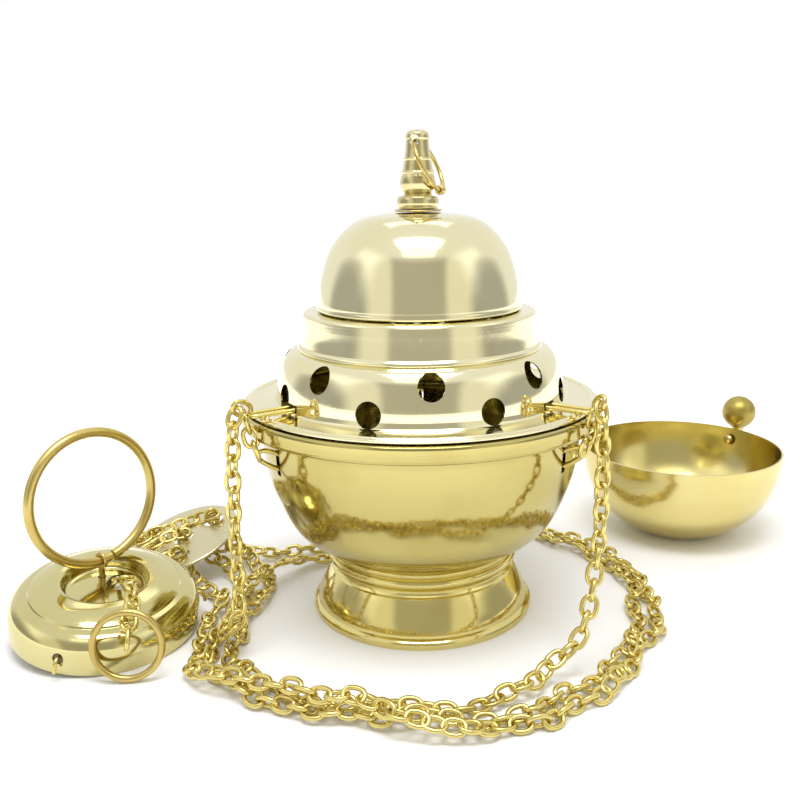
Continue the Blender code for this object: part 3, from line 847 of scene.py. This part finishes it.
@dataclass
class HandCap:
    """The cap that gathers the chains, with its eye, finger ring, hooks and the pull ring beside it."""

    tilt_x: float = 7.3
    tilt_y: float = 6.0
    radius: float = 32.2
    eye: Point = (-3.8, 7.4, 18.6)
    hole: Point = (4.1, 4.9, 12.0)
    ring_turn: float = -39.7
    ring_lean: float = 3.0
    hook_angles: dict[str, float] = field(default_factory=lambda: {"front": 261.4, "right": 21.4, "left": 141.4})

    @property
    def place(self) -> Matrix:
        """The cap's own frame, with its origin under the middle of its open edge, in metres."""
        tilt = turn("Y", self.tilt_y) @ turn("X", self.tilt_x)
        return Matrix.Translation(hinge_of("finger_ring_fall") - tilt @ Vector(self.eye) * MM) @ tilt

    def build(self) -> None:
        """Makes and dresses the cap and what is on it."""
        cap = stand(lathe("cap_shell", self._outline(), 200), self.place)
        holes = [(polar(self.radius, a, 5.6), polar(1, a), 1.9, 8.0) for a in self.hook_angles.values()]
        holes += [(self.hole, (0, 0, 1), 5.3, 8.0), ((self.eye[0], self.eye[1], 12.0), (0, 0, 1), 1.5, 8.0)]
        carve(cap, [drill("cap holes", holes)])
        fit(cap, "cap", CAP_BRASS, "lid_brass", "cap")
        self._eye()
        self._hooks()
        self._finger_ring()
        self._pull_ring()

    def _outline(self) -> np.ndarray:
        """Draws the cap's section: recess, lip, crown, step, shoulder and skirt."""
        floor = [(0, 12.0), (12.2, 12.0)]
        lip = [(12.2, 12.0), (13.3, 12.5), (13.9, 14.3), (14.7, 16.0), (16.2, 16.6)]
        crown = [(16.2, 16.6), (19.6, 16.0), (23.0, 14.7), (25.1, 13.7)]
        step = [(25.1, 13.7), (25.5, 13.1)]
        shoulder = [(25.5, 13.1), (27.6, 12.5), (29.4, 11.4), (31.1, 9.3), (32.0, 6.2), (self.radius, 3.4)]
        return shell([floor, lip, crown, step, shoulder, [(self.radius, 3.4), (self.radius, 0.0)]], 0.8, 0.2)

    def _eye(self) -> None:
        """Makes the screw eye in the recess."""
        loop = circle(2.7, 40)[:, [0, 2, 1]]
        facing = turn("X", -self.tilt_x) @ turn("Y", -self.tilt_y) @ turn("Z", self.ring_turn)
        ring = tube(moved(loop, facing), 0.65, True)
        shank = tube(np.array([(0, 0, z) for z in np.linspace(-13.6, -2.4, 12)]), 1.2, False, 20)
        piece = mesh_from("cap_screw_eye", *several([ring, shank]))
        fit(stand(piece, self.place @ Matrix.Translation(Vector(self.eye) * MM)), "cap", RING_BRASS, "ring_brass",
            "cap_eye")

    def _hooks(self) -> None:
        """Bends the wire hooks that hold the chains' ends in the cap's side."""
        for side, angle in self.hook_angles.items():
            line = through([(26.5, 0, 0), (31, 0, 0.2), (33.0, 0, 0.0), (34.1, 0, -1.4), (34.5, 0, -3.8)], 5)
            piece = mesh_from(f"cap_wire_hook_{side}", *tube(line, 0.65, False))
            place = self.place @ Matrix.Translation((0, 0, 5.6 * MM)) @ turn("Z", angle)
            fit(stand(piece, place), "cap", CHAIN_BRASS, "chain_brass", f"cap_hook_{side}")

    def _finger_ring(self) -> None:
        """Bends the finger ring, whose two ends meet just beside the eye."""
        radius, seam, gap = 23.35, -78.0, 0.35
        line = circle(radius, 200, seam + gap / 2, 360 - gap)
        line = np.stack([np.zeros(len(line)), line[:, 0], line[:, 1] + radius], axis=1)
        piece = mesh_from("finger_ring_wire", *tube(line, 1.75, False, 24))
        lean = turn("Z", self.ring_turn) @ turn("Y", -self.ring_lean)
        place = Matrix.Translation(hinge_of("finger_ring_fall")) @ lean
        fit(stand(piece, place), "finger_ring", RING_BRASS, "ring_brass", "finger_ring")

    def _pull_ring(self) -> None:
        """Bends the ring on the lid chain's end, which leans on the cap."""
        radius = 10.9
        line = circle(radius, 120)
        line = np.stack([line[:, 0], np.zeros(len(line)), line[:, 1] - radius], axis=1)
        piece = mesh_from("pull_ring_wire", *tube(line, 1.15, True, 20))
        place = Matrix.Translation(hinge_of("pull_ring_swing")) @ turn("Z", 5) @ turn("X", -9)
        fit(stand(piece, place), "pull_ring", RING_BRASS, "ring_brass", "pull_ring")


@dataclass
class GuidePlate:
    """The round plate with four holes that keeps the chains apart."""

    at: Point = (-99.1, 31.0, 12.2)
    tilt_x: float = 10.8
    tilt_y: float = -15.4
    radius: float = 23.4
    hole: float = 4.4
    hole_ring: float = 14.5

    @property
    def place(self) -> Matrix:
        """The plate's own frame, in metres."""
        return Matrix.Translation(world(self.at)) @ turn("Y", self.tilt_y) @ turn("X", self.tilt_x)

    def holes(self) -> list[Point]:
        """Gives the middle of each hole: the one in the centre, then the three round it."""
        return [(0.0, 0.0, 0.0), *(polar(self.hole_ring, 35 + 120 * k) for k in range(3))]

    def build(self) -> None:
        """Makes and dresses the plate."""
        half, r = 0.6, self.radius
        rim = [(r - 0.25, half), (r - 0.05, half - 0.15), (r, half - 0.35), (r, 0.35 - half), (r - 0.05, 0.15 - half),
               (r - 0.25, -half)]
        line = np.array([(0, half), *((x, half) for x in np.linspace(2, r - 2, 8)), *rim,
                         *((x, -half) for x in np.linspace(r - 2, 2, 8)), (0, -half)])
        plate = stand(lathe("guide_plate_disc", line, 128, closed=False), self.place)
        carve(plate, [drill("plate holes", [(p, (0, 0, 1), self.hole, 6.0) for p in self.holes()])])
        fit(plate, "guide_plate", PLATE_BRASS, "lid_brass", "guide_plate")


# ---------------------------------------------------------------- chains


@dataclass(frozen=True)
class LinkSize:
    """An oval chain link of round wire."""

    length: float = 8.4
    width: float = 6.2
    wire: float = 1.6
    pitch: float = 5.25

    def line(self, stretch: float = 0.0, count: int = 24) -> np.ndarray:
        """Draws the middle line of a link along X.

        Args:
            stretch: How much longer than usual it is.
            count: How many points there are.

        Returns:
            The closed line's points.
        """
        a, b = (self.length + stretch - self.wire) / 2, (self.width - self.wire) / 2
        made = []
        for t in 2 * math.pi * np.arange(count) / count:
            x, y = math.cos(t), math.sin(t)
            made.append((a * math.copysign(abs(x) ** 0.87, x), b * math.copysign(abs(y) ** 0.87, y), 0.0))
        return np.array(made)


class Roll(Enum):
    """How the links of a chain stand: in degrees from flat on the table, one link and the next."""

    LYING = (34.0, -48.0)
    HANGING = (18.0, 108.0)


@dataclass
class Chain:
    """One run of chain, as its route and what it joins.

    Attributes:
        name: The piece's name.
        nodes: The CAD nodes that it stands for.
        route: Points along its middle, in millimetres from the bowl's axis.
        bodies: The body at its start and the one at its far side; not used.
        reach: Where the change from one body to the other starts and ends; not used.
        wander: How far it strays from its route where it lies, in millimetres.
    """

    name: str
    nodes: tuple[str, ...]
    route: list[Point]
    bodies: tuple[str, str]
    reach: tuple[Point, Point]
    wander: float = 0.9

    def build(self, size: LinkSize, seed: int) -> None:
        """Makes and dresses the chain.

        Args:
            size: Its links.
            seed: What its small irregularities are drawn from.
        """
        draw = np.random.default_rng(seed)
        line = self._strayed(spaced(through(self.route, 10), 0.5), draw)
        links = spaced(line, size.pitch)
        ahead, side, up = self._upright_frames(links)
        base, faces = tube(size.line(), size.wire / 2, True, 8)
        parts = []
        for k, middle in enumerate(links):
            lying = 1.0 - min(1.0, abs(ahead[k][2]) * 2.5)
            flat = Roll.LYING.value[k % 2] + draw.normal(0, 11.0)
            hang = Roll.HANGING.value[k % 2] + draw.normal(0, 5.0)
            angle = math.radians(lying * flat + (1 - lying) * hang)
            across = math.cos(angle) * side[k] + math.sin(angle) * up[k]
            over = np.cross(ahead[k], across)
            link = base @ np.stack([ahead[k], across, over]) + middle + draw.normal(0, 0.12, 3)
            link[:, 2] += max(0.0, FLOOR_GAP - link[:, 2].min())
            parts.append((link, faces))
        points, faces = several(parts)
        piece = mesh_from(self.name, points + np.array(AXIS) / MM, faces, sharp=60.0)
        piece.data.materials.append(CHAIN_BRASS.material())
        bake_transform(piece)
        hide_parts(*self.nodes)
        LOG.info("%s: %d links, %.0f mm", self.name, len(parts), length_of(line))

    def _strayed(self, line: np.ndarray, draw: Any) -> np.ndarray:
        """Lets a line that lies on the table stray a little from its route.

        Args:
            line: The even line.
            draw: The random numbers.

        Returns:
            The line with slow waves across it.
        """
        ahead, side, _ = self._upright_frames(line)
        run = np.arange(len(line)) * 0.5
        lying = np.clip(1.0 - np.abs(ahead[:, 2]) * 3.0, 0, 1) * np.clip((12.0 - line[:, 2]) / 6.0, 0, 1)
        ends = np.clip(np.minimum(run, run[::-1]) / 15.0, 0, 1)
        wave, lift = np.zeros(len(line)), np.zeros(len(line))
        for length in (23.0, 37.0, 61.0):
            wave += np.sin(2 * math.pi * (run / length + draw.random()))
            lift += np.sin(2 * math.pi * (run / (length * 0.8) + draw.random()))
        strayed = line + side * (wave * lying * ends * self.wander)[:, None]
        strayed[:, 2] += (np.clip(lift, 0, None) * 0.7 - 0.4) * lying * ends
        return strayed

    @staticmethod
    def _upright_frames(line: np.ndarray) -> tuple[np.ndarray, np.ndarray, np.ndarray]:
        """Gives the direction, the level side direction and the upper side direction at each point."""
        ahead = np.gradient(line, axis=0)
        ahead /= np.linalg.norm(ahead, axis=1)[:, None]
        side = np.cross(ahead, (0.0, 0.0, 1.0))
        size = np.linalg.norm(side, axis=1)
        for k in range(len(side)):
            if size[k] < 0.25:
                carried = side[k - 1] if k else np.cross(ahead[0], (0.3, 1.0, 0.0))
                side[k] = carried - ahead[k] * (carried @ ahead[k])
            side[k] /= np.linalg.norm(side[k])
        return ahead, side, np.cross(side, ahead)


@dataclass
class Chains:
    """The three bowl chains and the lid chain, each in two runs that meet at the guide plate."""

    low: float = 2.75
    gather: float = 0.07

    def build(self, plate: GuidePlate, cap: HandCap) -> None:
        """Makes all the runs.

        Args:
            plate: The plate whose holes they pass.
            cap: The cap that they end in.
        """
        size = LinkSize()
        for k, chain in enumerate([*self._bowl_chains(plate), *self._tails(plate, cap)]):
            chain.build(size, SEED + k)

    def _up(self, degrees: float) -> list[Point]:
        """Gives the first stretch of a bowl chain, from its end link up through the guide and over."""
        return [polar(64.9, degrees, 70.2), polar(66.9, degrees, 77.0), polar(68.3, degrees, 83.8),
                polar(70.3, degrees, 86.0)]

    def _gathered(self, route: list[Point]) -> list[Point]:
        """Draws in the strands that lie in front and on the right, so that they press together."""
        made = []
        for x, y, z in route:
            pull = self.gather * min(1.0, max(0.0, (14.0 - z) / 8.0))
            made.append((x * (1 - pull) if x > 0 else x, y * (1 - pull / 2) if y < 0 else y, z))
        return made

    @staticmethod
    def _hole(plate: GuidePlate, number: int, height: float) -> Point:
        """Gives a point on the line through one of the plate's holes, from the bowl's axis."""
        point = plate.place @ (Vector((*plate.holes()[number][:2], height)) * MM)
        return tuple((point - AXIS) / MM)

    def _bowl_chains(self, plate: GuidePlate) -> list[Chain]:
        """Lays the main runs, from the bowl and the finial to the plate."""
        low = self.low
        left = [
            *self._up(214.0), (-59.3, -41.0, 82), (-60.3, -42.5, 66), (-60.8, -43.5, 44), (-60.6, -44.5, 26),
            (-61.2, -46.0, 16), (-63.6, -45.6, 9.6), (-67.0, -41.5, 7.6), (-67.9, -33, 7.4), (-67.2, -19, 7.4),
            (-65.6, -4, 7.4), (-61, 9, 7.8), (-55.5, 18, 7.2), (-50, 25.5, 4.8), (-43, 32, low), (-33, 39.5, low),
            (-21, 45, low), (-9, 47.4, low), (-0.5, 50.4, low), (0, 55.4, low), (-7, 58.6, low), (-18, 58, low),
            (-31, 53.5, low), (-42, 46.5, low), (-50.5, 39.6, low), (-60, 36.4, low), (-70, 36, 4.4), (-84, 37, 6.4),
            (-100, 38, 7.4), self._hole(plate, 2, -2.5), self._hole(plate, 2, 1.5)]
        right = [
            *self._up(326.0), (57.6, -41.6, 82), (58.2, -43.2, 66), (57.4, -46.5, 46), (54.6, -51.5, 27),
            (50, -57.5, 14), (44, -63, 7.5), (34, -71.5, 4.2), (20, -79, low), (4, -82.6, low), (-15, -81.4, low),
            (-34, -76, low), (-50, -67, low), (-60, -57.5, low), (-64, -47, low), (-64.2, -33, low),
            (-63.2, -18, low), (-61.4, -2, low), (-62.6, 12, low), (-69, 25, 4.6), (-80, 36, 8.0),
            self._hole(plate, 1, -3.5), self._hole(plate, 1, 2.0)]
        back = [
            *self._up(90.0), (0, 72.5, 82), (0.5, 74.5, 62), (1.5, 75, 38), (4, 75.5, 16), (10, 75.2, 5.6),
            (22, 72.5, low), (41, 66, low), (58, 54, low), (72.5, 39, low), (82.5, 21.5, low), (86.6, 3, low),
            (85.2, -18, low), (77.6, -38.5, low), (65.4, -57.5, low), (49.6, -74, low), (29, -86, low),
            (6, -88.4, 3.4), (-17, -86.6, 3.6), (-38, -81.2, 3.4), (-56, -71.4, low), (-66.6, -61.4, low),
            (-70.7, -48, low), (-70.6, -33, low), (-69.6, -19, low), (-68.6, -3, low), (-72.5, 11, low),
            (-82, 23, 6.0), self._hole(plate, 0, -3.5), self._hole(plate, 0, 2.0)]
        lid = [
            (0.0, 7.8, 149.2), (0.2, 11.5, 149.0), (0.8, 16.5, 147.8), (2, 24.6, 144.2), (3.5, 31.8, 137.2),
            (5.5, 37.6, 127.4), (8.5, 42.2, 116.6), (11, 46.8, 107.5), (13, 49.6, 101), (14.8, 53.8, 94),
            (16, 60, 87.8), (16, 68.2, 84), (15, 73.5, 78), (14.5, 76.5, 62), (15, 79.5, 38), (17, 82, 16),
            (24, 81.6, 5.6), (36, 76.5, low), (53, 66, low), (69, 52.5, low), (82.0, 36, low), (90, 16.5, low),
            (92.2, -4, low), (88.6, -26.5, low), (79.0, -48, low), (64.5, -67, low), (46, -83.4, low),
            (25, -93.0, low), (8, -94.8, 4.8), (-5, -91.6, 7.2), (-18, -86.0, 8.0), (-31, -81.2, 8.0),
            (-44, -76.2, 7.8), (-56, -70.8, 7.8), (-66.8, -66.4, 6.6), (-74.6, -59.6, 4.0), (-76.4, -47, low),
            (-76.4, -33.5, low), (-75.8, -20, low), (-75.8, -8, low), (-82, 3, low), (-91, 10, 4.6),
            self._hole(plate, 3, -3.0), self._hole(plate, 3, 2.0)]
        lifted = ((0, 0, 22), (0, 0, 82))
        names = ("chain_left", "chain_right", "chain_back", "lid_chain")
        return [Chain(f"{name}_links", (name,), self._gathered(route), ("bowl", "lid"), lifted)
                for name, route in zip(names, (left, right, back, lid))]

    def _tails(self, plate: GuidePlate, cap: HandCap) -> list[Chain]:
        """Lays the short runs, from the plate's holes into the cap."""
        low = self.low
        left = [self._hole(plate, 2, 2.0), (-119, 39.5, 8.6), (-128, 37.5, 4.0), (-135.4, 30, low),
                (-139.4, 20, low), (-138.6, 9, low), (-134.6, -1, low), (-130.6, -9, 4.0)]
        right = [self._hole(plate, 1, 2.5), (-97.5, 41, 16.6), (-109, 36.5, 14.0), (-120.5, 31, 9.6),
                 (-129.6, 25, 4.6), (-132, 17, low), (-131, 8, low), (-127, -1, low), (-121.6, -9, low),
                 (-118.5, -25, 3.4), (-117.0, -46, 5.0)]
        back = [self._hole(plate, 0, 2.5), (-106, 27.6, 13.8), (-114, 21.5, 9.6), (-121, 14.6, 5.0),
                (-122.3, 7.5, low), (-118.6, -0.5, low), (-113, -8.5, low), (-103, -14, 3.6), (-93, -16.5, 5.0)]
        over = [cap.place @ (Vector(p) * MM) for p in
                ((5.6, 3.6, 7.0), (5.8, 3.2, 13.0), (7.4, 0.6, 16.2), (10.6, -5.6, 17.6), (13.6, -12.6, 19.0),
                 (15.4, -19.4, 19.4), (16.8, -26.0, 18.6), (17.6, -30.6, 15.2))]
        lid = [self._hole(plate, 3, 2.5), (-103, 11.6, 12.0), (-110, 6.6, 7.0), (-108.6, 0.6, low), (-104.5, -5, low),
               (-103.4, -13, 3.4), (-107.4, -18.6, 6.4), *(tuple((p - AXIS) / MM) for p in over)]
        reach = ((-112.9, 12.0, 0), (-112.9, -8.0, 0))
        names = ("chain_left", "chain_right", "chain_back", "lid_chain")
        return [Chain(f"{name}_tail_links", (f"{name}_tail",), route, ("bowl", "cap"), reach, wander=0.5)
                for name, route in zip(names, (left, right, back, lid))]


# ---------------------------------------------------------------- studio


@dataclass
class Studio:
    """The pale floor, the soft light and the camera."""

    eye: Point = (0.0, -313.0, 153.9)
    pitch: float = 13.64
    roll: float = -0.647
    focal: float = 39.75
    shift: float = -0.0254

    def camera(self) -> None:
        """Makes the camera."""
        data = bpy.data.cameras.new("camera")
        data.lens = self.focal
        data.shift_x = self.shift
        data.clip_start, data.clip_end = 0.01, 50.0
        camera = bpy.data.objects.new("camera", data)
        bpy.context.scene.collection.objects.link(camera)
        camera.matrix_world = Matrix.Translation(world(self.eye)) @ turn("X", 90 - self.pitch) @ turn("Z", self.roll)
        bpy.context.scene.camera = camera

    def light(self) -> None:
        """Makes the soft surroundings, the overhead light and the floor."""
        bpy.context.scene.view_settings.view_transform = "Standard"
        self._surroundings()
        data = bpy.data.lights.new("overhead", "AREA")
        data.shape, data.size, data.size_y, data.energy = "RECTANGLE", 0.55, 0.3, 5.0
        lamp = bpy.data.objects.new("overhead", data)
        bpy.context.scene.collection.objects.link(lamp)
        lamp.matrix_world = Matrix.Translation((0.0, -0.28, 0.9)) @ turn("X", -16)
        self._floor()

    @staticmethod
    def _surroundings() -> None:
        """Makes a white room with a dimmer end in front and a bright panel on each side."""
        made = bpy.data.worlds.new("studio")
        bpy.context.scene.world = made
        made.use_nodes = True
        graph = Graph(made.node_tree)
        way = graph.add("ShaderNodeTexCoord", output="Generated")
        x, y, z = (graph.add("ShaderNodeSeparateXYZ", None, {0: way}, output=k) for k in range(3))
        front = (0.0 - y).between(0.25, 0.6) * z.between(0.8, 0.6)
        panel = abs(x).between(0.42, 0.56) * abs(x).between(0.9, 0.78) * (0.0 - y).between(-0.2, 0.1)
        side = abs(x).between(0.84, 0.96)
        window = z.between(0.72, 0.78) * z.between(0.9, 0.86) * abs(x).between(0.3, 0.26)
        tone = 0.98 - front * 0.42 - side * 0.5 + panel * z.between(0.8, 0.6) * 0.45 + window * 0.8
        warm = graph.mix(front * 0.6, (1.0, 1.0, 1.0), (0.90, 0.87, 0.72))
        seen = graph.add("ShaderNodeLightPath", output="Is Camera Ray")
        lit = graph.add("ShaderNodeBackground", None, {"Color": warm, "Strength": tone})
        plain = graph.add("ShaderNodeBackground", None, {"Color": (1.0, 1.0, 1.0, 1.0), "Strength": 1.0})
        both = graph.add("ShaderNodeMixShader", None, {0: seen, 1: lit, 2: plain})
        graph.add("ShaderNodeOutputWorld", None, {"Surface": both})

    @staticmethod
    def _floor() -> None:
        """Lays the floor, which glows faintly far out so that it runs into the white behind it."""
        half = 3000.0
        corners = np.array([(-half, -half, 0), (half, -half, 0), (half, half, 0), (-half, half, 0)])
        floor = mesh_from("floor", corners, [(0, 1, 2, 3)])
        made = bpy.data.materials.new("floor white")
        made.use_nodes = True
        graph = Graph(made.node_tree)
        place = graph.add("ShaderNodeTexCoord", output="Object")
        far = graph.add("ShaderNodeVectorMath", {"operation": "LENGTH"}, {0: place}, output="Value")
        glow = graph.mix(far.between(0.12, 0.55), (0.02, 0.02, 0.02), (0.6, 0.6, 0.6))
        grain = graph.add("ShaderNodeTexNoise", None, {"Vector": place, "Scale": 60.0, "Detail": 6.0})
        shader = graph.add("ShaderNodeBsdfPrincipled", None, {
            "Base Color": (0.93, 0.93, 0.94, 1.0), "Roughness": grain * 0.1 + 0.55, "Emission Color": glow,
            "Emission Strength": 1.0, "Specular IOR Level": 0.2})
        graph.add("ShaderNodeOutputMaterial", None, {"Surface": shader})
        floor.data.materials.append(made)


def dress_fixings() -> None:
    """Gives the small CAD nodes that stay in view their finish."""
    names = ("foot_bolt", "foot_washer", "foot_nut", "finial_nut", "cap_eye_nut", "pan_rivet")
    pins = (f"{kind}_pin_{side}" for kind in ("anchor", "guide") for side in ("left", "right", "back"))
    for name in (*names, *pins):
        frame["nodes"][name].material_slots[0].material = FIXING_BRASS.material()
        LOG.info("%s: kept, with a new finish", name)


def main() -> None:
    """Builds everything in order."""
    studio, bowl, lid = Studio(), Bowl(), Lid()
    plate, cap = GuidePlate(), HandCap()
    studio.camera()
    Chains().build(plate, cap)
    bowl.build()
    lid.build(bowl.station_angles)
    for side, degrees in bowl.station_angles.items():
        Station(side, degrees).build()
    Pan().build()
    cap.build()
    plate.build()
    dress_fixings()
    studio.light()


if __name__ == "__main__":
    main()
